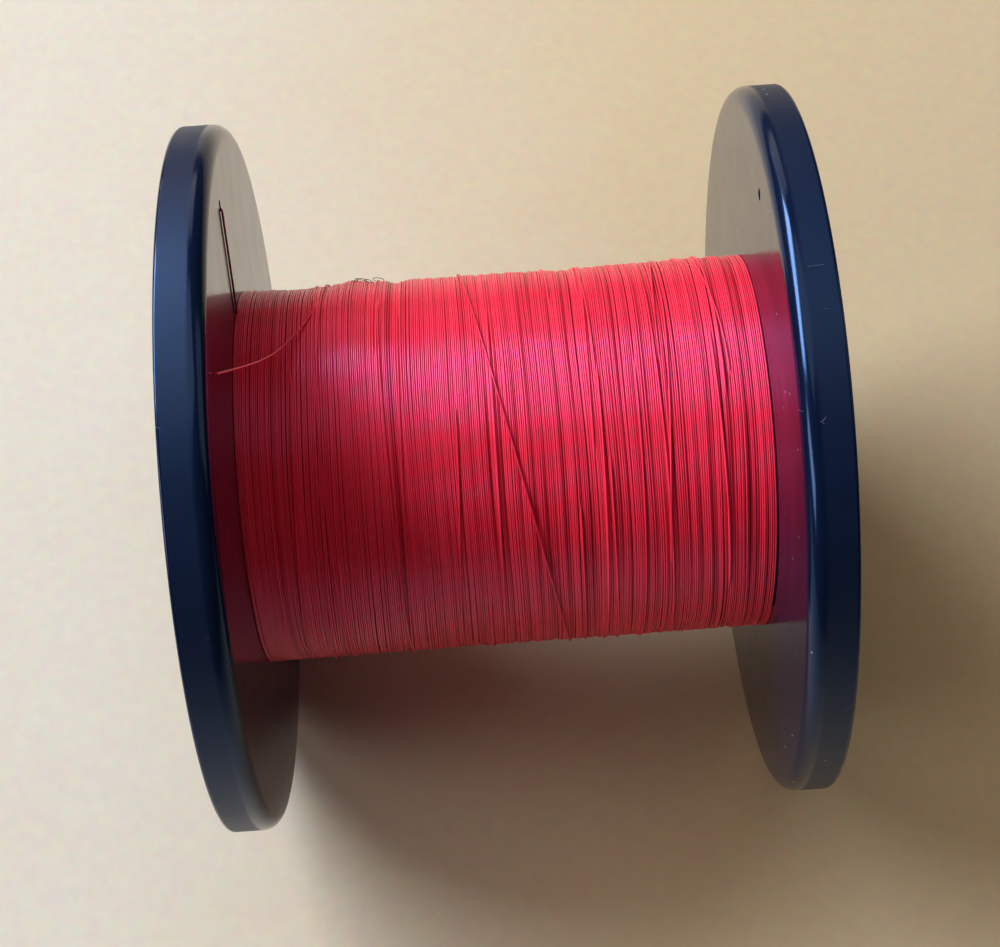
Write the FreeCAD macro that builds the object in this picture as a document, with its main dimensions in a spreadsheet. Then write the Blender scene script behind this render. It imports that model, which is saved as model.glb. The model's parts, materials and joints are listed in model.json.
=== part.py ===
"""A string reel lying on the rims of its two flanges, wound with fine string.

The reel is three mouldings: a tube, the barrel, and two equal flanges whose spigots are
pushed and glued into the ends of the barrel. A flange is a thin web with a deep rim, a
bored hub that runs into the barrel as a sleeve, ribs between hub and rim on the outside,
and a small start hole for the string.

Lengths are in millimetres. +X is the axis of the reel, towards the right flange, +Z is up
and -Y is towards the viewer. The origin is the middle of the axis, between the flanges.
"""
import FreeCAD, Part
import math
import os

import PartDesign
import Sketcher
from FreeCAD import Placement, Rotation, Vector

doc = FreeCAD.newDocument("string_reel")

# Driving sizes: name, value and what it measures.
DRIVING_SIZES = [
    ("flange_diameter", 100.0, "outside of both rims, on which the reel lies"),
    ("inside_width", 70.4, "between the inner faces of the flanges"),
    ("rim_width", 6.4, "depth of a flange at its rim"),
    ("rim_wall", 3.0, "thickness of the rim, measured to the axis"),
    ("web_thickness", 2.6, "the disc between hub and rim"),
    ("inner_edge_radius", 2.0, "round edge between inner face and rim"),
    ("outer_edge_chamfer", 0.4, "broken edges of rim and hub on the outer side"),
    ("bore_diameter", 16.0, "bore for the spindle of a reel stand"),
    ("bore_chamfer", 0.6, "lead-in at both ends of the bore"),
    ("hub_diameter", 27.0, "hub on the outer side"),
    ("hub_inset", 0.4, "hub face below the rim, so the reel stands on its rim"),
    ("sleeve_diameter", 22.0, "sleeve round the bore inside the barrel"),
    ("sleeve_length", 12.0, "sleeve from the web into the barrel"),
    ("rib_count", 8, "ribs on the outer side of a flange"),
    ("rib_thickness", 1.8, "thickness of a rib"),
    ("rib_inset_at_hub", 0.8, "rib below the rim's face, at the hub"),
    ("rib_inset_at_rim", 1.8, "rib below the rim's face, at the rim"),
    ("spigot_length", 9.0, "spigot from the web into the barrel"),
    ("spigot_wall", 2.2, "thickness of the spigot"),
    ("spigot_chamfer", 0.8, "lead-in of the spigot"),
    ("joint_clearance", 0.1, "glue gap between spigot and barrel"),
    ("barrel_diameter", 40.0, "outside of the barrel, under the string"),
    ("barrel_wall", 2.4, "thickness of the barrel"),
    ("barrel_chamfer", 0.5, "lead-in inside both ends of the barrel"),
    ("start_hole_diameter", 1.6, "hole for the start of the string"),
    ("start_hole_distance", 42.6, "start hole from the axis"),
    ("left_hole_angle", 27.6, "left start hole, from straight up to the back, degrees"),
    ("right_hole_angle", 18.0, "right start hole, from straight up to the back, degrees"),
    ("string_diameter", 0.3, "one strand of the string"),
    ("seat_clearance", 0.05, "between string and what it lies on"),
    ("string_depth", 6.5, "depth of the wound string on the barrel"),
    ("turn_count", 24, "turns of the outer layer, each a band of strands"),
    ("turn_gap", 0.45, "between two turns of the outer layer"),
    ("crossing_sweep", 200.0, "degrees round the front that the crossing strand covers"),
    ("crossing_shift", 12.5, "how far the crossing strand runs along the reel"),
    ("crossing_middle", 1.4, "the crossing strand's middle, from the reel's middle"),
    ("start_tail_length", 14.0, "string outside the start hole"),
]

sheet = doc.addObject("Spreadsheet::Sheet", "Sizes")
for row, (alias, value, meaning) in enumerate(DRIVING_SIZES, start=1):
    sheet.set(f"A{row}", alias)
    sheet.set(f"B{row}", str(value))
    sheet.set(f"C{row}", meaning)
    sheet.setAlias(f"B{row}", alias)
doc.recompute()
size = {alias: float(sheet.get(alias)) for alias, _, _ in DRIVING_SIZES}

# Sizes that follow from the driving ones, as expressions on the sheet.
FLANGE_RADIUS = "Sizes.flange_diameter / 2"
RIM_BORE_RADIUS = "(Sizes.flange_diameter / 2 - Sizes.rim_wall)"
BORE_RADIUS = "Sizes.bore_diameter / 2"
HUB_RADIUS = "Sizes.hub_diameter / 2"
HUB_FACE = "(Sizes.rim_width - Sizes.hub_inset)"
SLEEVE_RADIUS = "Sizes.sleeve_diameter / 2"
BARREL_BORE_RADIUS = "(Sizes.barrel_diameter / 2 - Sizes.barrel_wall)"
SPIGOT_RADIUS = f"({BARREL_BORE_RADIUS} - Sizes.joint_clearance)"
SPIGOT_BORE_RADIUS = f"({SPIGOT_RADIUS} - Sizes.spigot_wall)"
HOLE_TURN = "(180 deg / Sizes.rib_count)"

# The same, as numbers, for the string that is swept below.
half_inside = size["inside_width"] / 2
barrel_radius = size["barrel_diameter"] / 2
string_radius = size["string_diameter"] / 2
wound_radius = barrel_radius + size["string_depth"]
pack_end_gap = size["string_diameter"] + 2 * size["seat_clearance"]
pack_width = size["inside_width"] - 2 * pack_end_gap
turn_pitch = (pack_width + size["turn_gap"]) / (size["turn_count"] + 1)
turn_diameter = turn_pitch - size["turn_gap"]
turn_path_radius = wound_radius - turn_diameter / 2
hole_turn = 180.0 / size["rib_count"]

X_AXIS = Vector(1, 0, 0)
Z_AXIS = Vector(0, 0, 1)


def origin_feature(body, role):
    """The origin plane or axis of a body, by its role."""
    return next(item for item in body.Origin.OriginFeatures if item.Role == role)


def sketch_on(body, name, plane_role):
    """An empty sketch on one of the body's own origin planes."""
    sketch = body.newObject("Sketcher::SketchObject", name)
    sketch.AttachmentSupport = [(origin_feature(body, plane_role), "")]
    sketch.MapMode = "FlatFace"
    return sketch


def number(expression):
    """The value that an expression on the sheet has now."""
    return float(sheet.evalExpression(expression))


def draw_outline(sketch, corners):
    """A closed outline of straight lines whose corners are bound to expressions.

    corners is a list of (across, up) pairs of expressions in the sketch's plane.
    """
    places = [Vector(number(across), number(up), 0) for across, up in corners]
    count = len(places)
    for index in range(count):
        line = Part.LineSegment(places[index], places[(index + 1) % count])
        sketch.addGeometry(line, False)
    for index in range(count):
        sketch.addConstraint(Sketcher.Constraint("Coincident", index, 2, (index + 1) % count, 1))
    for index, (across, up) in enumerate(corners):
        for kind, expression, value in (
            ("DistanceX", across, places[index].x),
            ("DistanceY", up, places[index].y),
        ):
            constraint = sketch.addConstraint(Sketcher.Constraint(kind, -1, 1, index, 1, value))
            sketch.setExpression(f"Constraints[{constraint}]", expression)


def draw_circle(sketch, across, up, radius):
    """A circle whose centre and radius are bound to expressions."""
    centre = Vector(number(across), number(up), 0)
    circle = sketch.addGeometry(Part.Circle(centre, Vector(0, 0, 1), number(radius)), False)
    for kind, expression, value in (("DistanceX", across, centre.x), ("DistanceY", up, centre.y)):
        constraint = sketch.addConstraint(Sketcher.Constraint(kind, -1, 1, circle, 3, value))
        sketch.setExpression(f"Constraints[{constraint}]", expression)
    constraint = sketch.addConstraint(Sketcher.Constraint("Radius", circle, number(radius)))
    sketch.setExpression(f"Constraints[{constraint}]", radius)


def round_edges(shape, radius, place):
    """Names of the full circles of this radius about the X axis at x = place."""
    names = []
    for index, edge in enumerate(shape.Edges, start=1):
        curve = edge.Curve
        if not isinstance(curve, Part.Circle) or not edge.isClosed():
            continue
        on_axis = math.hypot(curve.Center.y, curve.Center.z) < 1e-4
        if on_axis and abs(curve.Radius - radius) < 1e-4 and abs(curve.Center.x - place) < 1e-4:
            names.append(f"Edge{index}")
    return names


def dress(body, kind, name, places, size_name, size_property):
    """A fillet or chamfer on round edges of the body's last feature.

    places is a list of (radius, x) pairs of expressions.
    """
    doc.recompute()
    base = body.Tip
    edges = []
    for radius, place in places:
        edges += round_edges(base.Shape, number(radius), number(place))
    if len(edges) < len(places):
        raise RuntimeError(f"{body.Label}: {name} found {len(edges)} of {len(places)} edges")
    feature = body.newObject(kind, name)
    feature.Base = (base, edges)
    feature.setExpression(size_property, f"Sizes.{size_name}")
    doc.recompute()


def volume_changed(body, before, sign, what):
    """Stops the script if a feature added or cut nothing."""
    change = sign * (body.Shape.Volume - before)
    if change <= 0:
        raise RuntimeError(f"{body.Label}: {what} changed nothing")
    print(f"{body.Label}: {what} {change:.1f} mm3")


def make_flange(name):
    """One flange in its own frame: inner face of the web at x = 0, outer side towards +X."""
    body = doc.addObject("PartDesign::Body", name)
    body.Label = name
    x_axis = origin_feature(body, "X_Axis")

    # The turned form: sleeve, hub, web, rim and spigot in one half section.
    section = sketch_on(body, f"{name}_section", "XY_Plane")
    draw_outline(section, [
        ("-Sizes.sleeve_length", BORE_RADIUS),
        (HUB_FACE, BORE_RADIUS),
        (HUB_FACE, HUB_RADIUS),
        ("Sizes.web_thickness", HUB_RADIUS),
        ("Sizes.web_thickness", RIM_BORE_RADIUS),
        ("Sizes.rim_width", RIM_BORE_RADIUS),
        ("Sizes.rim_width", FLANGE_RADIUS),
        ("0", FLANGE_RADIUS),
        ("0", SPIGOT_RADIUS),
        ("-Sizes.spigot_length", SPIGOT_RADIUS),
        ("-Sizes.spigot_length", SPIGOT_BORE_RADIUS),
        ("0", SPIGOT_BORE_RADIUS),
        ("0", SLEEVE_RADIUS),
        ("-Sizes.sleeve_length", SLEEVE_RADIUS),
    ])
    turned = body.newObject("PartDesign::Revolution", f"{name}_turned")
    turned.Profile = section
    turned.ReferenceAxis = (x_axis, [""])
    turned.Angle = 360
    doc.recompute()

    # The edge that the string runs over is round, and the bore leads a spindle in.
    dress(body, "PartDesign::Fillet", f"{name}_inner_edge",
          [(FLANGE_RADIUS, "0")], "inner_edge_radius", "Radius")
    dress(body, "PartDesign::Chamfer", f"{name}_outer_edge",
          [(FLANGE_RADIUS, "Sizes.rim_width"), (RIM_BORE_RADIUS, "Sizes.rim_width"),
           (HUB_RADIUS, HUB_FACE)], "outer_edge_chamfer", "Size")
    dress(body, "PartDesign::Chamfer", f"{name}_bore_lead",
          [(BORE_RADIUS, HUB_FACE), (BORE_RADIUS, "-Sizes.sleeve_length")], "bore_chamfer", "Size")
    dress(body, "PartDesign::Chamfer", f"{name}_spigot_lead",
          [(SPIGOT_RADIUS, "-Sizes.spigot_length")], "spigot_chamfer", "Size")

    # One rib from hub to rim, falling towards the rim, and its copies round the axis.
    before = body.Shape.Volume
    rib_side = sketch_on(body, f"{name}_rib_side", "XZ_Plane")
    draw_outline(rib_side, [
        ("Sizes.web_thickness / 2", f"({BORE_RADIUS} + {HUB_RADIUS}) / 2"),
        ("Sizes.rim_width - Sizes.rib_inset_at_hub", f"({BORE_RADIUS} + {HUB_RADIUS}) / 2"),
        ("Sizes.rim_width - Sizes.rib_inset_at_rim", f"({RIM_BORE_RADIUS} + Sizes.rim_wall / 2)"),
        ("Sizes.web_thickness / 2", f"({RIM_BORE_RADIUS} + Sizes.rim_wall / 2)"),
    ])
    rib = body.newObject("PartDesign::Pad", f"{name}_rib")
    rib.Profile = rib_side
    rib.SideType = "Symmetric"
    rib.setExpression("Length", "Sizes.rib_thickness")
    doc.recompute()
    ribs = body.newObject("PartDesign::PolarPattern", f"{name}_ribs")
    ribs.Originals = [rib]
    ribs.Axis = (x_axis, [""])
    ribs.Angle = 360
    ribs.setExpression("Occurrences", "Sizes.rib_count")
    body.Tip = ribs
    doc.recompute()
    volume_changed(body, before, 1, "ribs")

    # The start hole goes through the web, half way between two ribs.
    before = body.Shape.Volume
    hole_place = sketch_on(body, f"{name}_start_hole_place", "YZ_Plane")
    draw_circle(hole_place, f"Sizes.start_hole_distance * sin({HOLE_TURN})",
                f"Sizes.start_hole_distance * cos({HOLE_TURN})", "Sizes.start_hole_diameter / 2")
    hole = body.newObject("PartDesign::Pocket", f"{name}_start_hole")
    hole.Profile = hole_place
    hole.Type = "Length"
    hole.SideType = "Symmetric"
    hole.setExpression("Length", "3 * Sizes.web_thickness")
    doc.recompute()
    volume_changed(body, before, -1, "start hole")
    return body


# The flanges are the same moulding, set on the barrel with their start holes where they fell.
right_flange = make_flange("right_flange")
right_flange.Placement = Placement(
    Vector(half_inside, 0, 0), Rotation(X_AXIS, hole_turn - size["right_hole_angle"]))
right_flange.setExpression(".Placement.Base.x", "Sizes.inside_width / 2")

left_turn = Rotation(X_AXIS, -hole_turn - size["left_hole_angle"])
left_flange = make_flange("left_flange")
left_flange.Placement = Placement(
    Vector(-half_inside, 0, 0), left_turn.multiply(Rotation(Z_AXIS, 180)))
left_flange.setExpression(".Placement.Base.x", "-Sizes.inside_width / 2")

# The barrel is a plain tube that ends on the inner faces of the webs.
barrel = doc.addObject("PartDesign::Body", "barrel")
barrel.Label = "barrel"
barrel_ring = sketch_on(barrel, "barrel_ring", "YZ_Plane")
draw_circle(barrel_ring, "0", "0", "Sizes.barrel_diameter / 2")
draw_circle(barrel_ring, "0", "0", BARREL_BORE_RADIUS)
barrel_tube = barrel.newObject("PartDesign::Pad", "barrel_tube")
barrel_tube.Profile = barrel_ring
barrel_tube.SideType = "Symmetric"
barrel_tube.setExpression("Length", "Sizes.inside_width")
dress(barrel, "PartDesign::Chamfer", "barrel_lead",
      [(BARREL_BORE_RADIUS, "Sizes.inside_width / 2"),
       (BARREL_BORE_RADIUS, "-Sizes.inside_width / 2")], "barrel_chamfer", "Size")

# The inner layers of string, as the plain ring that they fill.
END_GAP = "(Sizes.string_diameter + 2 * Sizes.seat_clearance)"
TURN_PITCH = f"((Sizes.inside_width - 2 * {END_GAP} + Sizes.turn_gap) / (Sizes.turn_count + 1))"
WOUND_RADIUS = "(Sizes.barrel_diameter / 2 + Sizes.string_depth)"
CORE_RADIUS = f"({WOUND_RADIUS} - ({TURN_PITCH} - Sizes.turn_gap) - Sizes.seat_clearance)"


def lying_cylinder(name, radius, length):
    """A cylinder about the X axis, centred on the origin."""
    cylinder = doc.addObject("Part::Cylinder", name)
    cylinder.setExpression("Radius", radius)
    cylinder.setExpression("Height", length)
    cylinder.Placement = Placement(Vector(0, 0, 0), Rotation(Vector(0, 1, 0), 90))
    cylinder.setExpression(".Placement.Base.x", f"-({length}) / 2")
    return cylinder


inner_layers = doc.addObject("Part::Cut", "string_inner_layers")
inner_layers.Base = lying_cylinder(
    "inner_layers_outside", CORE_RADIUS, f"Sizes.inside_width - 2 * {END_GAP}")
inner_layers.Tool = lying_cylinder(
    "inner_layers_bore", "Sizes.barrel_diameter / 2 + Sizes.seat_clearance", "Sizes.inside_width")
inner_layers.Label = "string_inner_layers"
doc.recompute()


def around(angle):
    """The direction out from the axis, this many degrees from the front over the top."""
    turn = math.radians(angle)
    return Vector(0, -math.cos(turn), math.sin(turn))


def onward(angle):
    """The direction of travel round the axis at that angle."""
    turn = math.radians(angle)
    return Vector(0, math.sin(turn), math.cos(turn))


def arc_middle(start, tangent, end):
    """The middle of the arc that leaves start along tangent and passes through end."""
    chord = end - start
    along = Vector(chord).normalize()
    turn = tangent.getAngle(along)
    side = (tangent - along * tangent.dot(along)).normalize()
    return (start + end) * 0.5 + side * (chord.Length / 2 * math.tan(turn / 2))


def biarc(start, start_tangent, end, end_tangent):
    """Two arcs that join smoothly and carry one tangent into the other."""
    span = end - start
    lead = span.dot(start_tangent + end_tangent)
    spread = 2 * (1 - start_tangent.dot(end_tangent))
    reach = (math.sqrt(lead * lead + spread * span.dot(span)) - lead) / spread
    joint = (start + end + (start_tangent - end_tangent) * reach) * 0.5
    return [
        Part.Arc(start, arc_middle(start, start_tangent, joint), joint),
        Part.Arc(joint, arc_middle(end, end_tangent * -1, joint), end),
    ]


def smooth_path(stations):
    """Biarcs through a list of (point, unit tangent) pairs."""
    arcs = []
    for (start, leaving), (end, arriving) in zip(stations, stations[1:]):
        arcs += biarc(start, leaving, end, arriving)
    return Part.Wire([arc.toShape() for arc in arcs])


def rounded_route(points, bends):
    """Straight runs between points, with a tangent arc of the given radius at each bend."""
    edges = []
    at = points[0]
    for before, corner, after, radius in zip(points, points[1:], points[2:], bends):
        arriving = (corner - before).normalize()
        leaving = (after - corner).normalize()
        turn = arriving.getAngle(leaving)
        setback = radius * math.tan(turn / 2)
        start = corner - arriving * setback
        end = corner + leaving * setback
        edges.append(Part.LineSegment(at, start).toShape())
        edges.append(Part.Arc(start, arc_middle(start, arriving, end), end).toShape())
        at = end
    edges.append(Part.LineSegment(at, points[-1]).toShape())
    return Part.Wire(edges)


def widest_bends(points):
    """The radius at each corner of a free route: 0.45 of the shorter run beside it."""
    radii = []
    for before, corner, after in zip(points, points[1:], points[2:]):
        arriving = corner - before
        leaving = after - corner
        turn = arriving.getAngle(leaving)
        radii.append(0.45 * min(arriving.Length, leaving.Length) / math.tan(turn / 2))
    return radii


def tube(name, path, radius, sides):
    """A solid swept along a wire, its section a regular polygon with its corners at radius.

    Where the wire goes round the X axis, a flat side of the polygon faces outwards.
    """
    first = path.OrderedEdges[0]
    start = first.valueAt(first.FirstParameter)
    along = first.tangentAt(first.FirstParameter)
    across = along.cross(X_AXIS if abs(along.dot(X_AXIS)) < 0.9 else Z_AXIS).normalize()
    other = along.cross(across)
    corners = []
    for index in range(sides + 1):
        turn = 2 * math.pi * (index + 0.5) / sides
        corners.append(start + (across * math.cos(turn) + other * math.sin(turn)) * radius)
    section = Part.makePolygon(corners)
    solid = path.makePipeShell([section], True, False)
    feature = doc.addObject("Part::Feature", name)
    feature.Label = name
    feature.Shape = solid
    expected = sides / 2 * math.sin(2 * math.pi / sides) * radius ** 2 * path.Length
    print(f"{name}: {path.Length:.1f} mm long, volume {solid.Volume / expected:.4f} of section x length")
    return feature


def least_gap(path, diameter, turn_length, points_per_turn=72):
    """The least gap between two turns of one tube, measured on points along its path."""
    points = path.discretize(Number=round(path.Length / turn_length * points_per_turn) + 1)
    near = points_per_turn // 2
    far = near + points_per_turn
    least = min(
        (points[index] - other).Length
        for index in range(len(points) - near)
        for other in points[index + near:index + far]
    )
    return least - diameter


# The outer layer is one unbroken tube that winds from the left flange to the right.
turn_sides = 6
helix_length = math.hypot(2 * math.pi * turn_path_radius, turn_pitch)
first_turn_angle = 200.0


def turn_station(half_turns):
    """Point and tangent of the outer layer after this many half turns."""
    angle = first_turn_angle + 180 * half_turns
    place = X_AXIS * (turn_pitch * (half_turns - size["turn_count"]) / 2)
    rise = X_AXIS * (turn_pitch / helix_length)
    run = onward(angle) * (2 * math.pi * turn_path_radius / helix_length)
    return place + around(angle) * turn_path_radius, rise + run


turns = [turn_station(count) for count in range(2 * int(size["turn_count"]) + 1)]
turn_arcs = smooth_path(turns)
turn_lead_in = Part.LineSegment(turns[0][0] - turns[0][1] * turn_diameter, turns[0][0])
turn_lead_out = Part.LineSegment(turns[-1][0], turns[-1][0] + turns[-1][1] * turn_diameter)
turn_path = Part.Wire([turn_lead_in.toShape()] + turn_arcs.OrderedEdges + [turn_lead_out.toShape()])
outer_layer = tube("string_outer_layer", turn_path, turn_diameter / 2, turn_sides)
print(f"string_outer_layer: least gap {least_gap(turn_path, turn_diameter, helix_length):.3f} mm")

# One strand crosses the others on the front, where the winder ran back along the reel.
strand_sides = 6
strand_on_pack = wound_radius + size["seat_clearance"] + string_radius
crossing_middle_angle = 60.0
crossing_steps = 6


def crossing_station(share):
    """Point and tangent of the crossing strand, share running from -1 to 1 along it.

    Its place along the reel follows half a wave of a sine, so both ends run with the turns.
    """
    half_sweep = size["crossing_sweep"] / 2
    angle = crossing_middle_angle - half_sweep * share
    shift = size["crossing_shift"] / 2 * math.sin(math.pi / 2 * share)
    place = X_AXIS * (size["crossing_middle"] + shift) + around(angle) * strand_on_pack
    slope = size["crossing_shift"] / 2 * math.pi / 2 * math.cos(math.pi / 2 * share)
    travel = X_AXIS * slope - onward(angle) * (strand_on_pack * math.radians(half_sweep))
    return place, travel.normalize()


crossing_path = smooth_path([
    crossing_station(2 * step / crossing_steps - 1) for step in range(crossing_steps + 1)])
crossing = tube("string_crossing_strand", crossing_path, string_radius, strand_sides)

# The start of the string comes from the barrel up the left flange, through its start hole,
# and lies bent back against the outside of the web.
limp_bend = 3 * size["string_diameter"]
hole_way = around(90 + size["left_hole_angle"])


def beside_left_flange(depth, distance):
    """A point on the start hole's radius, depth outward from the inner face."""
    return hole_way * distance - X_AXIS * (half_inside + depth)


inside_depth = -(string_radius + size["seat_clearance"])
outside_depth = size["web_thickness"] + string_radius + size["seat_clearance"]
start_points = [
    beside_left_flange(inside_depth, barrel_radius + size["seat_clearance"]),
    beside_left_flange(inside_depth, size["start_hole_distance"]),
    beside_left_flange(outside_depth, size["start_hole_distance"]),
    beside_left_flange(outside_depth, size["start_hole_distance"] - size["start_tail_length"]),
]
start_end = tube(
    "string_start_end", rounded_route(start_points, [limp_bend, limp_bend]),
    string_radius, strand_sides)

# The free end lies over the turns, lifts off and leans on the left flange. Its points are
# (along the reel, out from the axis, angle from the front over the top).
loose_route = [
    (-22.6, 26.75, 152.0),
    (-23.2, 27.1, 138.0),
    (-24.0, 27.1, 124.0),
    (-25.2, 27.0, 111.0),
    (-27.4, 27.3, 101.0),
    (-29.5, 29.8, 91.5),
    (-32.2, 34.6, 84.0),
    (-34.95, 42.8, 77.6),
]
loose_points = [X_AXIS * place + around(angle) * out for place, out, angle in loose_route]
loose_bends = widest_bends(loose_points)
print("string_loose_end: bend radii", " ".join(f"{radius:.1f}" for radius in loose_bends))
loose_end = tube(
    "string_loose_end", rounded_route(loose_points, loose_bends), string_radius, strand_sides)

# Every feature must have built, and every piece must be one sound solid, before any is written.
doc.recompute()
for item in doc.Objects:
    if "Invalid" in item.State or "Error" in item.State:
        raise RuntimeError(f"{item.Name} did not build: {item.State}")

pieces = [
    left_flange, right_flange, barrel, inner_layers,
    outer_layer, crossing, start_end, loose_end,
]
for piece in pieces:
    if piece.Shape.isNull() or not piece.Shape.isValid() or len(piece.Shape.Solids) != 1:
        raise RuntimeError(f"{piece.Label} is not one sound solid")

os.makedirs("parts", exist_ok=True)
for piece in pieces:
    piece.Shape.exportStep(f"parts/{piece.Label}.step")
    box = piece.Shape.BoundBox
    print(f"{piece.Label}: {piece.Shape.Volume:.1f} mm3, "
          f"{box.XLength:.2f} x {box.YLength:.2f} x {box.ZLength:.2f} mm")
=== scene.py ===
# %% [markdown]
# # A string reel lying on its rims
# The real object is a moulded plastic reel wound with very fine dyed string. Two flanges with
# deep, polished rims stand on the ends of a barrel, and the string fills about half of the
# space between them. The frame that is loaded first holds the solids at their real size, and
# every piece below is built round those sizes.
#
# Lengths are metres in Blender. Sizes of the object are written in millimetres times MM.
# +X runs along the reel's axis, +Z is up and -Y is towards the viewer.

import json
import math

import bpy
import numpy as np
from mathutils import Matrix, Vector


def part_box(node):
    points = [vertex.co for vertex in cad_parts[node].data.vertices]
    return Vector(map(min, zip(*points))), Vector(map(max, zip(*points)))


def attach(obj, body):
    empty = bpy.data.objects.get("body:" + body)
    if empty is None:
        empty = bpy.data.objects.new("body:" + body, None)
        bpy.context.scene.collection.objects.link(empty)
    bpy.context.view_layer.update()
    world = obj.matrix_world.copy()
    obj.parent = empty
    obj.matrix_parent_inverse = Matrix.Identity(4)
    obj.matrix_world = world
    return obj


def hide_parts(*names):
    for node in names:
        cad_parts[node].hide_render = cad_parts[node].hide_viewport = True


MM = 0.001
BODY = "root"

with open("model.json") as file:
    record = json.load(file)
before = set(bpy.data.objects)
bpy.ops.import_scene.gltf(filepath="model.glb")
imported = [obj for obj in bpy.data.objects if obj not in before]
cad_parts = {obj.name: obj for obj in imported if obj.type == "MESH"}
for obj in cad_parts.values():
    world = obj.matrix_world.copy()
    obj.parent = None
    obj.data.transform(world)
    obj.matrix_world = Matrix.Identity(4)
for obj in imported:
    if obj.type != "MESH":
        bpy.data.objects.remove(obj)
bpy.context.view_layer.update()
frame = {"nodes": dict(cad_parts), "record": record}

# %% Sizes that the frame gives
rim_radius = round(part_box("left_flange")[1].z, 4)
face_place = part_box("barrel")[1].x
outer_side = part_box("right_flange")[1].x
sleeve_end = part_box("right_flange")[0].x
pack_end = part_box("string_inner_layers")[1].x
wound_radius = round(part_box("string_outer_layer")[1].z, 4)
bore_radius = next(mount["dims"]["r_mm"] * MM
                   for mount in frame["record"]["mounts"] if mount["name"] == "right_bore")
floor_height = -rim_radius
print(f"rim radius {rim_radius / MM:.2f} mm, wound radius {wound_radius / MM:.2f} mm, "
      f"between the faces {2 * face_place / MM:.2f} mm")

# %% [markdown]
# ## Colours and nodes in small steps
# A colour is written as the hex value that a screen shows, and one function turns it into the
# linear light that the shader wants. Another adds a node with its settings and its links, and
# three more stand for the nodes that are needed most. So the room's light and each material
# read as a short list of what they are made of.


# %% Colour and node helpers
def colour(hex_value):
    """Linear red, green, blue and alpha of a screen colour such as "#3a4a5c"."""
    channels = np.array([int(hex_value[at:at + 2], 16) for at in (1, 3, 5)]) / 255
    linear = np.where(channels <= 0.04045, channels / 12.92, ((channels + 0.055) / 1.055) ** 2.4)
    return (*linear.tolist(), 1.0)


def new_material(name):
    """A material with its nodes, the shader among them."""
    material = bpy.data.materials.new(name)
    material.use_nodes = True
    return material.node_tree, material.node_tree.nodes["Principled BSDF"], material


def add(tree, kind, settings=None, **sockets):
    """A node with settings on the node itself and values or links on its input sockets.

    A socket's name is written with _ for a space, or is _ and its number. A value that is
    itself a socket is linked.
    """
    node = tree.nodes.new(kind)
    for key, value in (settings or {}).items():
        setattr(node, key, value)
    for key, value in sockets.items():
        name = int(key[1:]) if key[1:].isdigit() else key.replace("_", " ")
        socket = node.inputs[name]
        if isinstance(value, bpy.types.NodeSocket):
            tree.links.new(value, socket)
        else:
            socket.default_value = value
    return node


def reckoned(tree, operation, *terms):
    """The result of a maths node whose inputs, in order, are these numbers or links."""
    inputs = {f"_{at}": term for at, term in enumerate(terms)}
    return add(tree, "ShaderNodeMath", {"operation": operation}, **inputs).outputs["Value"]


def eased(tree, value, low, high):
    """0 below low and 1 above high, with a smooth step between them."""
    return add(tree, "ShaderNodeMapRange", {"interpolation_type": "SMOOTHSTEP"},
               Value=value, From_Min=low, From_Max=high).outputs["Result"]


def blended(tree, share, first, second, blend="MIX"):
    """A colour mix: first where share is 0, and second over it where share is 1."""
    return add(tree, "ShaderNodeMix", {"data_type": "RGBA", "blend_type": blend},
               Factor=share, _6=first, _7=second).outputs[2]


# %% [markdown]
# ## Camera and light
# The picture looks down at the reel from in front, about 60 degrees above the table, through a
# lens a little longer than normal. The camera is placed by its own point and the point that it
# looks at, and then turned a few degrees about its line of sight.
#
# One large soft lamp stands where a window would be, high up behind and to the left, and gives
# nearly all of the light, a little cool. A second window, lower and further to the left, reaches
# the front of the winding past the left flange. The room gives the rest back warmer: three weak
# lamps stand for its ceiling and walls, and a faint even light for what is left. The camera sees
# a pale wall past the table, but the rims mirror a dim room, as the real ones do.

# %% Camera
camera_place = Vector((-2.48, -144.73, 250.69)) * MM
camera_aim = Vector((-0.762, -2.467, 0.0)) * MM
camera_roll = math.radians(-3.6)

camera_back = (camera_place - camera_aim).normalized()
level = Vector((0, 0, 1)).cross(camera_back).normalized()
camera_right = Matrix.Rotation(camera_roll, 3, camera_back) @ level
camera_up = camera_back.cross(camera_right)

camera = bpy.data.objects.new("camera", bpy.data.cameras.new("camera"))
camera.data.sensor_width = 36.0
camera.data.lens = 72.57
camera.data.clip_start = 0.01
camera.matrix_world = (Matrix.Translation(camera_place)
                       @ Matrix((camera_right, camera_up, camera_back)).transposed().to_4x4())
bpy.context.scene.collection.objects.link(camera)
bpy.context.scene.camera = camera
print(f"the camera is {(camera_place - camera_aim).length / MM:.0f} mm from the reel")


# %% Lamps
def soft_lamp(name, place, width, height, power, tint):
    """A flat lamp that faces the reel, its place and sides in metres and its power in watts."""
    data = bpy.data.lights.new(name, "AREA")
    data.shape = "RECTANGLE"
    data.size = width
    data.size_y = height
    data.energy = power
    data.color = tint
    lamp = bpy.data.objects.new(name, data)
    facing = Vector(place).to_track_quat("Z", "Y").to_matrix().to_4x4()
    lamp.matrix_world = Matrix.Translation(place) @ facing
    bpy.context.scene.collection.objects.link(lamp)


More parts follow.
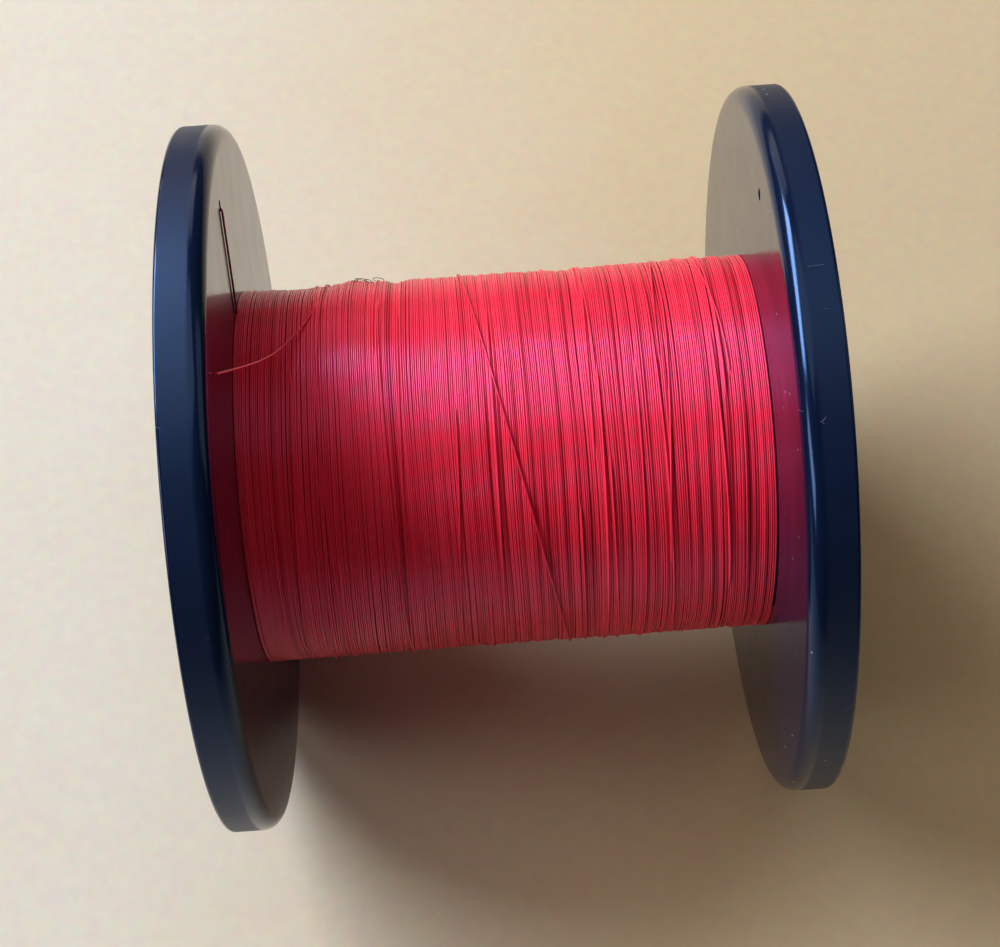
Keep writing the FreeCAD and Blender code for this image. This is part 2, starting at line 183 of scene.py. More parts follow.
soft_lamp("window_lamp", (-0.72, 0.44, 0.85), 1.1, 0.4, 21.5, (0.90, 0.96, 1.0))
soft_lamp("far_window_lamp", (-0.95, -0.45, 0.5), 0.6, 0.3, 3.2, (1.0, 0.93, 0.84))
soft_lamp("ceiling_lamp", (-0.1, 0.15, 1.2), 0.9, 0.9, 2.8, (1.0, 0.82, 0.64))
soft_lamp("back_wall_lamp", (-0.2, 1.0, 0.5), 0.6, 0.6, 1.2, (1.0, 0.82, 0.64))
soft_lamp("right_wall_lamp", (0.9, 0.1, 0.6), 0.7, 0.7, 1.0, (1.0, 0.80, 0.60))

# %% Room light
room = bpy.data.worlds.new("room_light")
room.use_nodes = True
room_tree = room.node_tree
faint_air = room_tree.nodes["Background"]
faint_air.inputs["Color"].default_value = (1.0, 0.90, 0.80, 1.0)
faint_air.inputs["Strength"].default_value = 0.04
pale_wall = add(room_tree, "ShaderNodeBackground", Color=(0.66, 0.62, 0.55, 1.0))
eye = add(room_tree, "ShaderNodeLightPath")
seen_room = add(room_tree, "ShaderNodeMixShader", _0=eye.outputs["Is Camera Ray"],
                _1=faint_air.outputs["Background"], _2=pale_wall.outputs["Background"])
room_tree.links.new(seen_room.outputs["Shader"], room_tree.nodes["World Output"].inputs["Surface"])
bpy.context.scene.world = room
bpy.context.scene.view_settings.view_transform = "Standard"
print(len(bpy.data.lights), "lamps and a faint room light")

# %% [markdown]
# ## Surfaces on a grid
# Nearly every shape here is a grid of points: rows along one direction of the surface and
# columns along the other. One function joins neighbours into four-sided faces, and one
# measures the closed volume, whose sign tells whether the faces point outwards.


# %% Grid, volume and mesh
def grid_faces(rows, columns, closed_rows=False, closed_columns=False):
    """Four-sided faces between the points of a grid, numbered row by row."""
    index = np.arange(rows * columns).reshape(rows, columns)
    if closed_rows:
        index = np.vstack([index, index[:1]])
    if closed_columns:
        index = np.hstack([index, index[:, :1]])
    corners = [index[:-1, :-1], index[1:, :-1], index[1:, 1:], index[:-1, 1:]]
    return np.stack(corners, axis=-1).reshape(-1, 4)


def closed_volume(points, faces):
    """A sixth of the sum of (a x b) . c over all triangles, positive if they face outwards."""
    a, b, c, d = (points[faces[:, corner]] for corner in range(4))
    triple = np.einsum("ij,ij->i", np.cross(a, b), c) + np.einsum("ij,ij->i", np.cross(a, c), d)
    return triple.sum() / 6


def new_piece(name, points, faces, caps=()):
    """An object at the origin whose mesh has these points, four-sided faces and caps."""
    mesh = bpy.data.meshes.new(name)
    mesh.from_pydata(points.tolist(), [], faces.tolist() + [list(cap) for cap in caps])
    mesh.shade_smooth()
    piece = bpy.data.objects.new(name, mesh)
    bpy.context.scene.collection.objects.link(piece)
    return piece


def wear(piece, material, slot, *nodes):
    """Gives a piece its finish, lets it ride on the reel and stand for CAD nodes."""
    piece.data.materials.clear()
    piece.data.materials.append(material)
    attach(piece, BODY)
    if nodes:
        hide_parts(*nodes)
    print(f"{piece.name}: {len(piece.data.vertices)} vertices")


# %% [markdown]
# ## The table
# The reel stands on plain card. Its colour is painted paler on the left and warmer to the right, a
# painted fall-off of the window's light across the table. Card is pulp, so its colour drifts a
# little over centimetres and is mottled over millimetres, and its surface is matt with hardly any
# relief. From 150 mm away its colour is painted darker, a painted shade where the lamps' light
# falls off, so that the rims mirror it faintly. There a faint painted glow that only the camera
# sees shows it a slightly paler card than the rims mirror.


# %% Card
def plain_card(name):
    """Matt beige card, mottled, with a painted fall-off of light from pale on the left, and
    painted shade from 150 to 330 mm away.
    """
    tree, shader, material = new_material(name)
    place = add(tree, "ShaderNodeTexCoord").outputs["Object"]
    across = add(tree, "ShaderNodeSeparateXYZ", Vector=place)
    # Painted light: 0 on the left and 1 on the right, the painted fall-off of the window's light.
    # The mix below adds it to the card's real drift.
    painted_light_falloff = add(tree, "ShaderNodeMapRange", Value=across.outputs["X"],
                From_Min=-70 * MM, From_Max=50 * MM)
    drift = add(tree, "ShaderNodeTexNoise", Vector=place, Scale=1 / (30 * MM), Detail=2.0)
    uneven = reckoned(tree, "MULTIPLY_ADD", drift.outputs["Fac"], 0.3, painted_light_falloff.outputs["Result"])
    mottle = add(tree, "ShaderNodeTexNoise", Vector=place, Scale=1 / (2 * MM), Detail=3.0)
    slow = blended(tree, uneven, colour("#d5cfc7"), colour("#d0bc9c"))
    fine = blended(tree, 0.2, slow, mottle.outputs["Color"], "MULTIPLY")
    away = add(tree, "ShaderNodeVectorMath", {"operation": "LENGTH"}, _0=place).outputs["Value"]
    # Painted shade: from 150 to 330 mm away the card is painted darker, and the same share gives
    # it a painted glow that only the camera sees.
    far_painted_shade_and_glow = eased(tree, away, 150 * MM, 330 * MM)
    card_with_painted_light = blended(tree, far_painted_shade_and_glow, fine, colour("#a79b87"))
    grain = add(tree, "ShaderNodeBump", Height=mottle.outputs["Fac"],
                Strength=0.2, Distance=0.1 * MM)
    # A faint light of the far card's own, which only the camera sees.
    eye = add(tree, "ShaderNodeLightPath")
    seen_far = reckoned(tree, "MULTIPLY", eye.outputs["Is Camera Ray"], far_painted_shade_and_glow)
    tree.links.new(reckoned(tree, "MULTIPLY", seen_far, 0.35), shader.inputs["Emission Strength"])
    shader.inputs["Emission Color"].default_value = colour("#d8cdbb")
    tree.links.new(card_with_painted_light, shader.inputs["Base Color"])
    tree.links.new(grain.outputs["Normal"], shader.inputs["Normal"])
    shader.inputs["Roughness"].default_value = 0.85
    shader.inputs["IOR"].default_value = 1.45
    return material


table_half = 1.5
table_corners = np.array([(-1, -1, 0), (1, -1, 0), (1, 1, 0), (-1, 1, 0)]) * table_half
table = new_piece("table", table_corners + [0, 0, floor_height], np.array([[0, 1, 2, 3]]))
table.data.materials.append(plain_card("plain_card_beige"))
print(f"the table is at {floor_height / MM:.1f} mm")

# %% [markdown]
# ## Polished moulded plastic
# The flanges and the barrel are injection moulded polystyrene, so dark a navy that it looks
# black where it reflects nothing. The mould was polished, so the plastic mirrors the table
# and the window, with a faint waviness where the wall shrank as it cooled. The rims' outer
# sides are handled and rolled about, which has dulled them, and dust and a few fibres of lint
# show on so dark a ground.
# What the plastic mirrors head-on takes on its blue, and at a glancing angle it stays as it is.


# %% Navy polystyrene
def moulded_polystyrene(name):
    """Dark polished plastic, dulled on the rims, with flow marks, specks of dust and lint."""
    tree, shader, material = new_material(name)
    place = add(tree, "ShaderNodeTexCoord").outputs["Object"]
    # Where the rims are rubbed: within a millimetre of their outside, but not on its two
    # rounded edges.
    spoke = add(tree, "ShaderNodeVectorMath", {"operation": "MULTIPLY"},
                _0=place, _1=(0.0, 1.0, 1.0)).outputs["Vector"]
    reach = add(tree, "ShaderNodeVectorMath", {"operation": "LENGTH"}, _0=spoke).outputs["Value"]
    handled = eased(tree, reach, rim_radius - 1.0 * MM, rim_radius - 0.1 * MM)
    along = add(tree, "ShaderNodeSeparateXYZ", Vector=place)
    from_middle = reckoned(tree, "ABSOLUTE", along.outputs["X"])
    past_edge = eased(tree, from_middle, 37.0 * MM, 37.8 * MM)
    before_edge = reckoned(tree, "LESS_THAN", from_middle, outer_side - 0.45 * MM)
    flat_part = reckoned(tree, "MULTIPLY", past_edge, before_edge)
    rubbed = reckoned(tree, "MULTIPLY", handled, flat_part)
    # Flow marks are centimetres long: one wave in about 20 mm.
    flow = add(tree, "ShaderNodeTexNoise", Vector=place, Scale=1 / (20 * MM), Detail=2.0)
    shade = blended(tree, flow.outputs["Fac"], colour("#08112a"), colour("#0b1836"))
    # Dust: round specks about 0.15 mm in radius, in about a quarter of the 3 mm wide cells.
    cells = add(tree, "ShaderNodeTexVoronoi", Vector=place, Scale=1 / (3 * MM))
    near = reckoned(tree, "LESS_THAN", cells.outputs["Distance"], 0.05)
    rare = add(tree, "ShaderNodeSeparateColor", Color=cells.outputs["Color"])
    chosen = reckoned(tree, "GREATER_THAN", rare.outputs["Red"], 0.72)
    dot = reckoned(tree, "MULTIPLY", near, chosen)
    # Lint: faint fibres about a millimetre long, along a few of the cells' borders.
    borders = add(tree, "ShaderNodeTexVoronoi", {"feature": "DISTANCE_TO_EDGE"},
                  Vector=place, Scale=1 / (5 * MM))
    thin = reckoned(tree, "LESS_THAN", borders.outputs["Distance"], 0.003)
    patch = add(tree, "ShaderNodeTexNoise", Vector=place, Scale=1 / (4 * MM), Detail=1.0)
    here = reckoned(tree, "GREATER_THAN", patch.outputs["Fac"], 0.69)
    fibre = reckoned(tree, "MULTIPLY", reckoned(tree, "MULTIPLY", thin, here), 0.45)
    # Dust and lint both pale the plastic, and the stronger of the two counts.
    speck = reckoned(tree, "MAXIMUM", dot, fibre)
    dusty = blended(tree, speck, shade, colour("#9aa3b4"))
    # Polishing haze: roughness changes over about 6 mm, and dust is dull.
    haze = add(tree, "ShaderNodeTexNoise", Vector=place, Scale=1 / (6 * MM), Detail=4.0)
    polish = add(tree, "ShaderNodeMapRange", Value=haze.outputs["Fac"],
                 From_Min=0.3, From_Max=0.7, To_Min=0.13, To_Max=0.18)
    dulled = reckoned(tree, "MULTIPLY_ADD", rubbed, 0.28, polish.outputs["Result"])
    # Shrinkage waves about 8 mm long and a few hundredths of a millimetre high.
    waves = add(tree, "ShaderNodeTexNoise", Vector=place, Scale=1 / (8 * MM), Detail=1.0)
    relief = add(tree, "ShaderNodeBump", Height=waves.outputs["Fac"],
                 Strength=0.3, Distance=0.05 * MM)
    tree.links.new(dusty, shader.inputs["Base Color"])
    tree.links.new(reckoned(tree, "MAXIMUM", dulled, speck), shader.inputs["Roughness"])
    tree.links.new(relief.outputs["Normal"], shader.inputs["Normal"])
    shader.inputs["IOR"].default_value = 1.5
    shader.inputs["Specular IOR Level"].default_value = 0.8
    shader.inputs["Specular Tint"].default_value = colour("#86b4ff")
    return material


navy_plastic = moulded_polystyrene("moulded_polystyrene_navy")
print("made", navy_plastic.name)

# %% [markdown]
# ## The flanges
# A flange is round, so its section is drawn once and carried round the axis. The section's
# corners are rounded as a mould's are: generously where the string runs over the rim's inner
# edge, and only a little on the outer side. The ribs and the string's start hole don't follow
# the turning, so they are added to the turned body and cut from it afterwards.

# %% The flange's section
web = 2.6 * MM
rim_wall = 3.0 * MM
rim_width = outer_side - face_place
hub_radius = 13.5 * MM
hub_height = rim_width - 0.4 * MM
sleeve_radius = 11.0 * MM
sleeve_length = face_place - sleeve_end
spigot_radius = 17.5 * MM
spigot_wall = 2.2 * MM
spigot_length = 9.0 * MM
inner_edge = 2.0 * MM
outer_edge = 0.4 * MM
root = 0.6 * MM
sharp = 0.05 * MM

# Corners as (along the axis from the inner face, out from the axis, rounding).
flange_section = [
    (-sleeve_length, bore_radius, root),
    (hub_height, bore_radius, root),
    (hub_height, hub_radius, outer_edge),
    (web, hub_radius, root),
    (web, rim_radius - rim_wall, root),
    (rim_width, rim_radius - rim_wall, outer_edge),
    (rim_width, rim_radius, outer_edge),
    (0.0, rim_radius, inner_edge),
    (0.0, spigot_radius, sharp),
    (-spigot_length, spigot_radius, root),
    (-spigot_length, spigot_radius - spigot_wall, sharp),
    (0.0, spigot_radius - spigot_wall, sharp),
    (0.0, sleeve_radius, sharp),
    (-sleeve_length, sleeve_radius, sharp),
]


def rounded_outline(corners, steps=8, hold=0.2 * MM):
    """Points along a closed outline whose corners are arcs.

    An arc of radius r at a corner that turns by t starts and ends r tan(t / 2) from it. A
    holding point just outside each end keeps the flat sides flat when the mesh is smooth.
    """
    places = np.array([corner[:2] for corner in corners])
    outline = []
    for index, (_, _, radius) in enumerate(corners):
        corner = places[index]
        arriving = corner - places[index - 1]
        leaving = places[(index + 1) % len(corners)] - corner
        arriving, leaving = arriving / np.linalg.norm(arriving), leaving / np.linalg.norm(leaving)
        turn = math.atan2(arriving[0] * leaving[1] - arriving[1] * leaving[0], arriving @ leaving)
        setback = radius * math.tan(abs(turn) / 2)
        start = corner - arriving * setback
        middle = start + np.array([-arriving[1], arriving[0]]) * math.copysign(radius, turn)
        swing = np.linspace(0, turn, steps + 1)[:, None]
        spoke = start - middle
        across = np.array([-spoke[1], spoke[0]])
        arc = middle + spoke * np.cos(swing) + across * np.sin(swing)
        outline += [start - arriving * hold, *arc, corner + leaving * (setback + hold)]
    return np.array(outline)


flange_outline = rounded_outline(flange_section)
print("the flange's section has", len(flange_outline), "points")


# %% Turning a section round the axis
def turned(outline, steps):
    """Carries (along, out) points round the X axis: (along, -out cos a, out sin a)."""
    angle = np.linspace(0, 2 * math.pi, steps, endpoint=False)[:, None]
    along = np.broadcast_to(outline[:, 0], (steps, len(outline)))
    out = outline[:, 1]
    points = np.stack([along, -out * np.cos(angle), out * np.sin(angle)], axis=-1)
    faces = grid_faces(steps, len(outline), closed_rows=True, closed_columns=True)
    points = points.reshape(-1, 3)
    if closed_volume(points, faces) < 0:
        faces = faces[:, ::-1]
    return points, faces


flange_steps = 288
flange_points, flange_faces = turned(flange_outline, flange_steps)
print(f"the turned flange holds {closed_volume(flange_points, flange_faces) / MM ** 3:.0f} mm3")

# %% [markdown]
# ## Ribs and start hole
# Eight ribs stiffen the web on the outer side. They are low plates that fall towards the rim,
# a little below its face, so the reel stands on the rim alone. The start hole is a plain drill
# size that takes the string's first end, half way between two ribs.

# %% Rib and hole shapes
rib_count = 8
rib_turn = 2 * math.pi / rib_count
rib_half = 0.9 * MM
rib_sunk = 0.5 * MM
rib_from = hub_radius - 2 * MM
rib_to = rim_radius - rim_wall + 1 * MM
rib_top_at_hub = rim_width - 0.8 * MM
rib_top_at_rim = rim_width - 1.8 * MM
hole_radius = 0.8 * MM
hole_distance = 42.6 * MM


def rib_plate():
    """Eight corners of a rib that points up: from inside the web to its sloping top."""
    side_view = ((web - rib_sunk, rib_from), (rib_top_at_hub, rib_from),
                 (rib_top_at_rim, rib_to), (web - rib_sunk, rib_to))
    return np.array([(along, side, out)
                     for side in (-rib_half, rib_half) for along, out in side_view])


def rib_ring():
    """All ribs as one mesh, each a copy of the first turned about X by a share of a circle."""
    first = rib_plate()
    faces = np.array([[0, 1, 2, 3], [7, 6, 5, 4], [0, 4, 5, 1],
                      [1, 5, 6, 2], [2, 6, 7, 3], [3, 7, 4, 0]])
    if closed_volume(first, faces) < 0:
        faces = faces[:, ::-1]
    turns = [Matrix.Rotation(rib_turn * count, 3, "X") for count in range(rib_count)]
    points = np.vstack([first @ np.array(turn).T for turn in turns])
    shift = 8 * np.arange(rib_count)[:, None, None]
    return points, (faces[None] + shift).reshape(-1, 4)


def hole_plug(steps=48, pinhole=0.01 * MM):
    """A cylinder through the web, half way between two ribs, with a pinhole along its axis."""
    outline = np.array([(-web, pinhole), (-web, hole_radius),
                        (2 * web, hole_radius), (2 * web, pinhole)])
    points, faces = turned(outline, steps)
    half_way = rib_turn / 2
    shift = [0, hole_distance * math.sin(half_way), hole_distance * math.cos(half_way)]
    return points + shift, faces


# %% Joining and cutting
def combined(body, other, operation):
    """The body's mesh after a boolean with another object, which is then removed."""
    modifier = body.modifiers.new(operation.lower(), "BOOLEAN")
    modifier.operation = operation
    modifier.solver = "EXACT"
    modifier.object = other
    shown = body.evaluated_get(bpy.context.evaluated_depsgraph_get())
    finished = bpy.data.meshes.new_from_object(shown)
    body.modifiers.clear()
    body.data = finished
    bpy.data.objects.remove(other)


def make_flange(name, node, half_turn, hole_angle):
    """One flange, turned end for end for the left side, with its start hole at its own angle.

    hole_angle is in degrees from straight up towards the back. The plug stands half way to
    the first rib behind, or in front once the flange is turned end for end.
    """
    flange = new_piece(name, flange_points, flange_faces)
    combined(flange, new_piece(name + "_ribs", *rib_ring()), "UNION")
    combined(flange, new_piece(name + "_hole", *hole_plug()), "DIFFERENCE")
    hole_now = rib_turn / 2 if half_turn == 0 else -rib_turn / 2
    about_axis = Matrix.Rotation(hole_now - math.radians(hole_angle), 4, "X")
    turn = about_axis @ Matrix.Rotation(half_turn, 4, "Z")
    side = 1 if half_turn == 0 else -1
    flange.data.transform(Matrix.Translation((side * face_place, 0, 0)) @ turn)
    flange.data.set_sharp_from_angle(angle=math.radians(32))
    wear(flange, navy_plastic, "reel_plastic", node)


make_flange("right_flange_moulding", "right_flange", 0.0, 18.0)
make_flange("left_flange_moulding", "left_flange", math.pi, 27.6)

# The barrel's own solid has the right shape, and only its finish changes.
barrel = frame["nodes"]["barrel"]
barrel.data.materials.clear()
barrel.data.materials.append(navy_plastic)

# %% [markdown]
# ## Dyed string
# The string is a fine synthetic monofilament, dyed crimson through and drawn smooth, so each
# strand has a narrow bright line along it. Where thousands lie side by side these lines join into
# bands of light, which the red and violet of the dye turn pink. Strands take the dye a little
# unevenly, and those that lie deeper are painted darker as well, a painted shade in the gaps.
# Every strand's mesh carries both as a number called shade, from 0 at the surface of the winding
# to 1 deep in a gap. A strand on its own, with no others beside it to pass their red light on to
# it, gets a second finish that is painted darker and browner, a painted shade for that missing
# light.


# %% Crimson monofilament
def dyed_monofilament(name, pale, full, deep):
    """Smooth dyed string: patches from pale to full, painted towards deep where a strand's shade
    is 1, for uneven dye and painted shade.
    """
    tree, shader, material = new_material(name)
    place = add(tree, "ShaderNodeTexCoord").outputs["Object"]
    shade = add(tree, "ShaderNodeAttribute", {"attribute_name": "shade"})
    patches = add(tree, "ShaderNodeTexNoise", Vector=place, Scale=1 / (4 * MM), Detail=3.0)
    uneven = blended(tree, patches.outputs["Fac"], colour(pale), colour(full))
    # Painted shade: the shade number darkens the dye towards deep, for deeper turns and the layers
    # below, on top of uneven dye.
    tinted = blended(tree, shade.outputs["Fac"], uneven, colour(deep))
    tree.links.new(tinted, shader.inputs["Base Color"])
    shader.inputs["Roughness"].default_value = 0.26
    shader.inputs["IOR"].default_value = 1.45
    shader.inputs["Specular IOR Level"].default_value = 1.0
    shader.inputs["Specular Tint"].default_value = colour("#b49cff")
    return material


crimson_string = dyed_monofilament(
    "dyed_nylon_monofilament_crimson", pale="#fc304a", full="#ff3c58", deep="#b00519")
# Painted shade: a copy of the string's finish, painted darker and browner, for a lone strand that
# gets less light from neighbours.
painted_shade_strand = dyed_monofilament(
    "dyed_nylon_monofilament_painted_shade", pale="#8a2230", full="#a03040", deep="#5a1018")
print("made", crimson_string.name, "and", painted_shade_strand.name)

# %% [markdown]
# ## The string's two ends
# One length of string makes the whole winding, so it has two ends. The first was threaded
# through the left flange from inside and pulled across its web, and the last comes off the
# winding at the back and leans on the left flange. Both are curves: a few points that guide
# a smooth line, as a bent wire's anchors would, and a round section of the string's own size.

# %% Ends
strand = 0.15 * MM


def around(along, out, degrees):
    """A point by its place along the axis, its distance from it, and its angle from the front."""
    angle = math.radians(degrees)
    return along * MM, -out * MM * math.cos(angle), out * MM * math.sin(angle)


def string_end(name, node, finish, guides, **facts):
    """A NURBS line of third order led by guide points, swept with the string's section.
    """
    curve = bpy.data.curves.new(name, "CURVE")
    curve.dimensions = "3D"
    line = curve.splines.new("NURBS")
    line.points.add(len(guides) - 1)
    for point, guide in zip(line.points, guides):
        point.co = (*guide, 1.0)
    line.order_u = 3
    line.use_endpoint_u = True
    line.resolution_u = 12
    end = bpy.data.objects.new(name, curve)
    bpy.context.scene.collection.objects.link(end)
    bpy.context.view_layer.update()
    path = bpy.data.meshes.new_from_object(end)
    bpy.data.meshes.remove(path)
    curve.bevel_depth = strand
    curve.bevel_resolution = 3
    curve.use_fill_caps = True
    curve.materials.append(finish)
    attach(end, BODY)
    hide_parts(node)


start_angle = 117.6
start_route = [(-35.0, 20.05), (-35.0, 40.8), (-35.0, 42.6),
               (-38.0, 42.6), (-38.0, 40.8), (-38.0, 28.6)]
string_end("start_end", "string_start_end", painted_shade_strand,
           [around(along, out, start_angle) for along, out in start_route],
           far_end="bare", stiffness="medium", lay="taut")

loose_route = [(-22.6, 26.2, 152), (-23.2, 26.25, 138), (-24.0, 26.3, 124), (-25.2, 26.55, 111),
               (-27.4, 27.1, 101), (-29.5, 29.8, 91.5), (-32.2, 34.6, 84.0), (-34.95, 42.8, 77.6)]
string_end("loose_end", "string_loose_end", crimson_string,
           [around(*point) for point in loose_route],
           far_end="bare", stiffness="medium", lay="loose")

# %% [markdown]
# ## How the string lies
# A machine wound the string on, moving it slowly from side to side, so the turns lie almost
# square to the axis, one beside the next. Where a few turns ran close together they stand up
# as a ridge, and between ridges a dark gap shows the layer below. One long tube follows all
# the turns of the top layer, and three smooth functions steer it: how far the turns wander
# along the axis, how deep each turn lies in a gap, and how the whole winding swells a little
# where the layers below are thicker. On top of that each turn has a slack of its own, which
# makes it cross its neighbours at small angles. Pressed between them, it lies a little flat.

# %% Wander, gaps and swells
chance = np.random.default_rng(17)
pitch = 1.8 * strand
pack_half = face_place - strand
crest = wound_radius + 0.1 * MM

# A gap every 0.8 to 2.3 mm, half as deep on the left of the middle.
gap_places = -pack_half + np.cumsum(chance.uniform(0.8, 2.3, 80)) * MM
gap_places = gap_places[gap_places < pack_half - 0.5 * MM]
gap_depths = chance.uniform(0.14, 0.42, len(gap_places)) * MM
gap_depths *= np.where(gap_places > -3 * MM, 1.0, 0.5)
gap_half = 0.34 * MM
gap_turns = chance.uniform(0, 2 * math.pi, (2, len(gap_places)))

# Each wave as (waves round the winding, height in mm, drift along the axis in mm).
wander_waves = ((1, 0.35, 9), (2, 0.16, 6), (3, 0.1, 5), (5, 0.05, 4))
wander_fade = 3 * MM
# Six starts are drawn, and the waves take the first four.
wander_turns = chance.uniform(0, 2 * math.pi, 6)

# Each hump as (place, half width, height) in mm.
humps = ((-27.5, 4.0, -0.3), (-20.0, 1.6, 0.45), (-13.6, 0.9, -0.4),
         (10.0, 4.0, -0.25), (30.0, 5.0, 0.15))
hump_side = math.radians(150)
print(len(gap_places), "gaps between ridges")


def wander(along, angle):
    """How far a turn strays along the axis: slow waves round the winding.

    Each is height sin(waves angle + turn + along / drift), and all fade near a flange.
    """
    fade = np.clip((pack_half - np.abs(along)) / wander_fade, 0, 1)
    stray = sum(height * MM * np.sin(waves * angle + turn + along / (drift * MM))
                for (waves, height, drift), turn in zip(wander_waves, wander_turns))
    return fade * stray


def gap_depth(along, angle):
    """How deep a turn lies: one narrow dip for each gap, which comes and goes round the turn.

    A dip is depth exp(-|distance / half width| ^ 1.4).
    """
    along, angle = along[..., None], angle[..., None]
    away = np.abs(along - gap_places) / gap_half
    coming = 0.62 + 0.38 * np.sin(angle + gap_turns[0]) * np.sin(3 * angle + gap_turns[1])
    return (gap_depths * coming * np.exp(-away ** 1.4)).sum(axis=-1)


def swell(along, angle):
    """How much higher or lower than a cylinder the winding stands: the sum of the humps.

    A hump is height exp(-(distance / half width)^2), full on one side and none on the other.
    """
    rise = sum(height * np.exp(-((along / MM - place) / width) ** 2)
               for place, width, height in humps)
    return rise * MM * (0.5 + 0.5 * np.cos(angle - hump_side))


def loose_noise(travel, step, size):
    """Random values every step turns, joined by cosine eases, so that no two turns lie alike.

    They are normal about 0, and size is their spread.
    """
    count = int(travel[-1] / step) + 2
    values = chance.normal(0, size, count)
    share = travel / step
    before = share.astype(int)
    ease = 0.5 - 0.5 * np.cos(math.pi * (share - before))
    return values[before] * (1 - ease) + values[before + 1] * ease


def strand_tube(along, out, angle, shade, sides=6, radius=strand, height=strand):
    """A tube along a path given by its place along the axis, distance from it and angle.

    At each step the section is a ring in the plane of the axis and the spoke, which a turn
    crosses almost squarely: centre + radius cos t along the axis + height sin t along the spoke.
    Returns points, faces, caps and each point's shade.
    """
    ring = 2 * math.pi * np.arange(sides) / sides
    place = along[:, None] + radius * np.cos(ring)
    reach = out[:, None] + height * np.sin(ring)
    spoke = angle[:, None]
    points = np.stack([place, -reach * np.cos(spoke), reach * np.sin(spoke)], axis=-1)
    points = points.reshape(-1, 3)
    faces = grid_faces(len(along), sides, closed_columns=True)
    caps = [list(range(sides)), list(range(len(points) - 1, len(points) - 1 - sides, -1))]
    if closed_volume(points, faces) < 0:
        faces, caps = faces[:, ::-1], [cap[::-1] for cap in caps]
    return points, faces, caps, np.repeat(shade, sides)


def keep_shade(piece, tone):
    """Keeps a number on each point, which the string's material reads as its shade."""
    kept = piece.data.attributes.new("shade", "FLOAT", "POINT")
    kept.data.foreach_set("value", tone.astype(np.float32))


def strand_piece(name, tubes):
    """One piece made of strand tubes, which keeps the shade on its points."""
    starts = np.cumsum([0] + [len(points) for points, _, _, _ in tubes])
    points = np.vstack([points for points, _, _, _ in tubes])
    faces = np.vstack([faces + start for (_, faces, _, _), start in zip(tubes, starts)])
    caps = [[corner + start for corner in cap]
            for (_, _, caps, _), start in zip(tubes, starts) for cap in caps]
    piece = new_piece(name, points, faces, caps)
    keep_shade(piece, np.concatenate([tone for _, _, _, tone in tubes]))
    return piece


# %% The top layer, turn by turn
turn_steps = 96
turn_total = int(2 * pack_half / pitch) + 2
flattened = 0.1 * MM
travel = np.arange(turn_total * turn_steps + 1) / turn_steps
angle = 2 * math.pi * travel
# A whole turn at each end lies against its flange, where the guide turned back.
place = np.clip(pitch * (travel - turn_total / 2), -pack_half, pack_half)
# What is a turn's own: its place, its height, and its dye, which also differs between rows.
own_place = loose_noise(travel, 0.23, 0.04 * MM)
own_lift = loose_noise(travel, 0.31, 0.018 * MM)
own_dye = np.abs(loose_noise(travel, 0.83, 0.07)) + np.abs(loose_noise(travel, 2.7, 0.16))

depth = gap_depth(place, angle)
out = crest - strand + swell(place, angle) - depth + own_lift
along = np.clip(place + wander(place, angle) + own_place, -pack_half, pack_half)
# Painted shade: a turn is painted darker the deeper it lies in a gap, on top of its own uneven
# dye.
darkest_depth = 0.6 * MM
shade = np.clip(own_dye + (depth - own_lift) / darkest_depth, 0, 1)
top_length = turn_total * 2 * math.pi * wound_radius
print(f"{turn_total} turns, {top_length:.1f} m of string in the top layer")

# Two pieces that share one step, each under 200,000 triangles.
middle_step = (turn_total // 2) * turn_steps
halves = {"top_layer_left": slice(0, middle_step + 1), "top_layer_right": slice(middle_step, None)}
for name, part in halves.items():
    tube = strand_tube(along[part], out[part], angle[part], shade[part], height=flattened)
    wear(strand_piece(name, [tube]), crimson_string, "string", "string_outer_layer")

# %% [markdown]
# ## The layers below
# Under the top layer lie dozens more, which show only as the dark bottom of a gap, so they are
# painted nearly the deep colour, a painted shade. They are one turned body, a little smaller than
# the top layer, that reaches from the barrel to the flanges.

# %% Inner layers
inner_top = crest - 1.0 * MM
inner_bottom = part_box("barrel")[1].z
# Painted shade: the layers below are painted 0.9 of the way to the deep colour.
inner_shade = 0.9
row_place = np.linspace(-pack_end, pack_end, 141)
inner_outline = np.vstack([np.column_stack([row_place, np.full(len(row_place), inner_top)]),
                           [(pack_end, inner_bottom), (-pack_end, inner_bottom)]])
inner_points, inner_faces = turned(inner_outline, 144)
inner_layers = new_piece("inner_layers", inner_points, inner_faces)
inner_layers.data.set_sharp_from_angle(angle=math.radians(40))
keep_shade(inner_layers, np.full(len(inner_points), inner_shade))
wear(inner_layers, crimson_string, "string", "string_inner_layers")

# %% [markdown]
# ## Strands across the winding
# Where the guide turned back, a strand crosses the others at a small angle and lies on top of
# them. It dives between its neighbours at both ends. One crosses the whole front of the
# winding, and thirty shorter ones break up the rows.


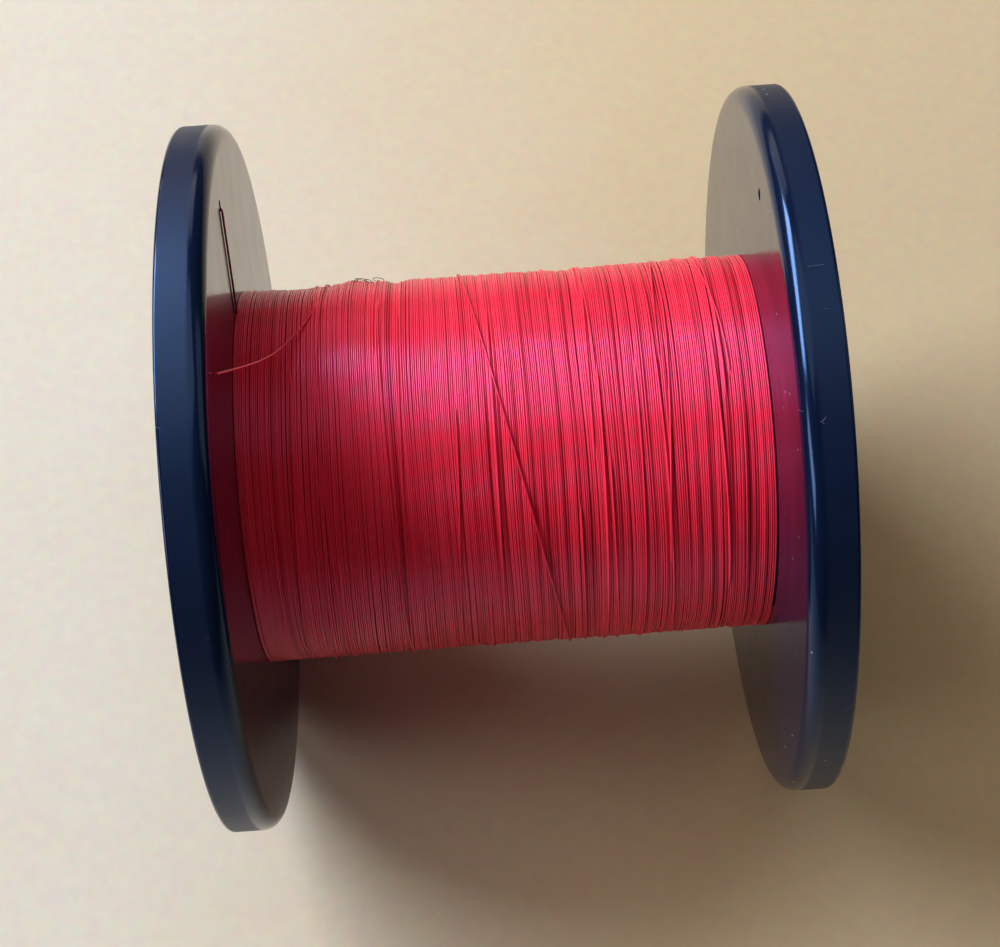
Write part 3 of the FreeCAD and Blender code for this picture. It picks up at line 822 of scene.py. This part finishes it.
# %% Crossing strands
def crossing(middle, shift, first, last, height, tone, steps=160, dive=0.08):
    """A strand over the others from angle first to last in degrees, moving along by shift mm.

    Its place is middle + shift / 2 sin(pi (t - 1/2)), and over a share called dive at each
    end it dips by 0.5 mm.
    """
    share = np.linspace(0, 1, steps)
    sweep = np.radians(first + (last - first) * share)
    path = (middle + shift / 2 * np.sin(math.pi * (share - 0.5))) * MM
    leaving = np.clip(1 - share / dive, 0, 1)
    arriving = np.clip(1 - (1 - share) / dive, 0, 1)
    dip = 0.5 * MM * (leaving ** 2 + arriving ** 2)
    reach = crest - strand + height * MM + swell(path, sweep) - dip
    return strand_tube(path, reach, sweep, np.full(steps, tone), sides=8)


# Painted shade: the long crossing is painted 0.4 of the way to the deep colour, so that it reads
# as a dark line.
long_strand = crossing(1.4, 12.5, 160, -40, height=0.24, tone=0.4)
wear(strand_piece("long_crossing", [long_strand]),
     crimson_string, "string", "string_crossing_strand")

short_strands = []
for middle in chance.uniform(-33, 33, 30):
    first = chance.uniform(20, 250)
    sweep = chance.uniform(60, 200)
    shift = chance.uniform(0.4, 2.2) * chance.choice([-1, 1])
    tone = chance.uniform(0, 0.3)
    short_strands.append(crossing(middle, shift, first, first - sweep, height=0.14, tone=tone))
wear(strand_piece("short_crossings", short_strands), crimson_string, "string")

# %% [markdown]
# ## Stray loops
# Where the string was handled, a few slack bits of a turn stand off the winding as springy
# little loops, near the back on the left. Each is one more strand tube, drawn finer, whose
# height rises and falls once while it curls from side to side.


# %% Loops
def stray_loop(middle, at, length, height, curls, steps=64, thin=0.05 * MM):
    """A slack strand round the angle at, length degrees long, whose height is height sin(pi t).

    Its place and its angle sway by 0.8 mm and 5 degrees: sin(2 pi curls t), and for the
    place sin(2 pi curls t + middle), so that the loops differ.
    """
    share = np.linspace(0, 1, steps)
    sweep = np.radians(at + length * (share - 0.5) + 5 * np.sin(2 * math.pi * curls * share))
    path = (middle + 0.8 * np.sin(2 * math.pi * curls * share + middle)) * MM
    reach = crest - strand + height * MM * np.sin(math.pi * share)
    # Painted shade: every loop is painted 0.4 of the way to its finish's deep colour.
    return strand_tube(path, reach, sweep, np.full(steps, 0.4), radius=thin, height=thin)


loop_shapes = ((-19.6, 141, 16, 0.5, 1.0), (-18.4, 144, 20, 0.7, 1.2),
               (-17.1, 139, 14, 0.5, 0.8), (-16.0, 143, 16, 0.6, 0.9))
# Painted shade: the loops wear the darker, browner finish of a lone strand.
wear(strand_piece("stray_loops", [stray_loop(*shape) for shape in loop_shapes]),
     painted_shade_strand, "string")
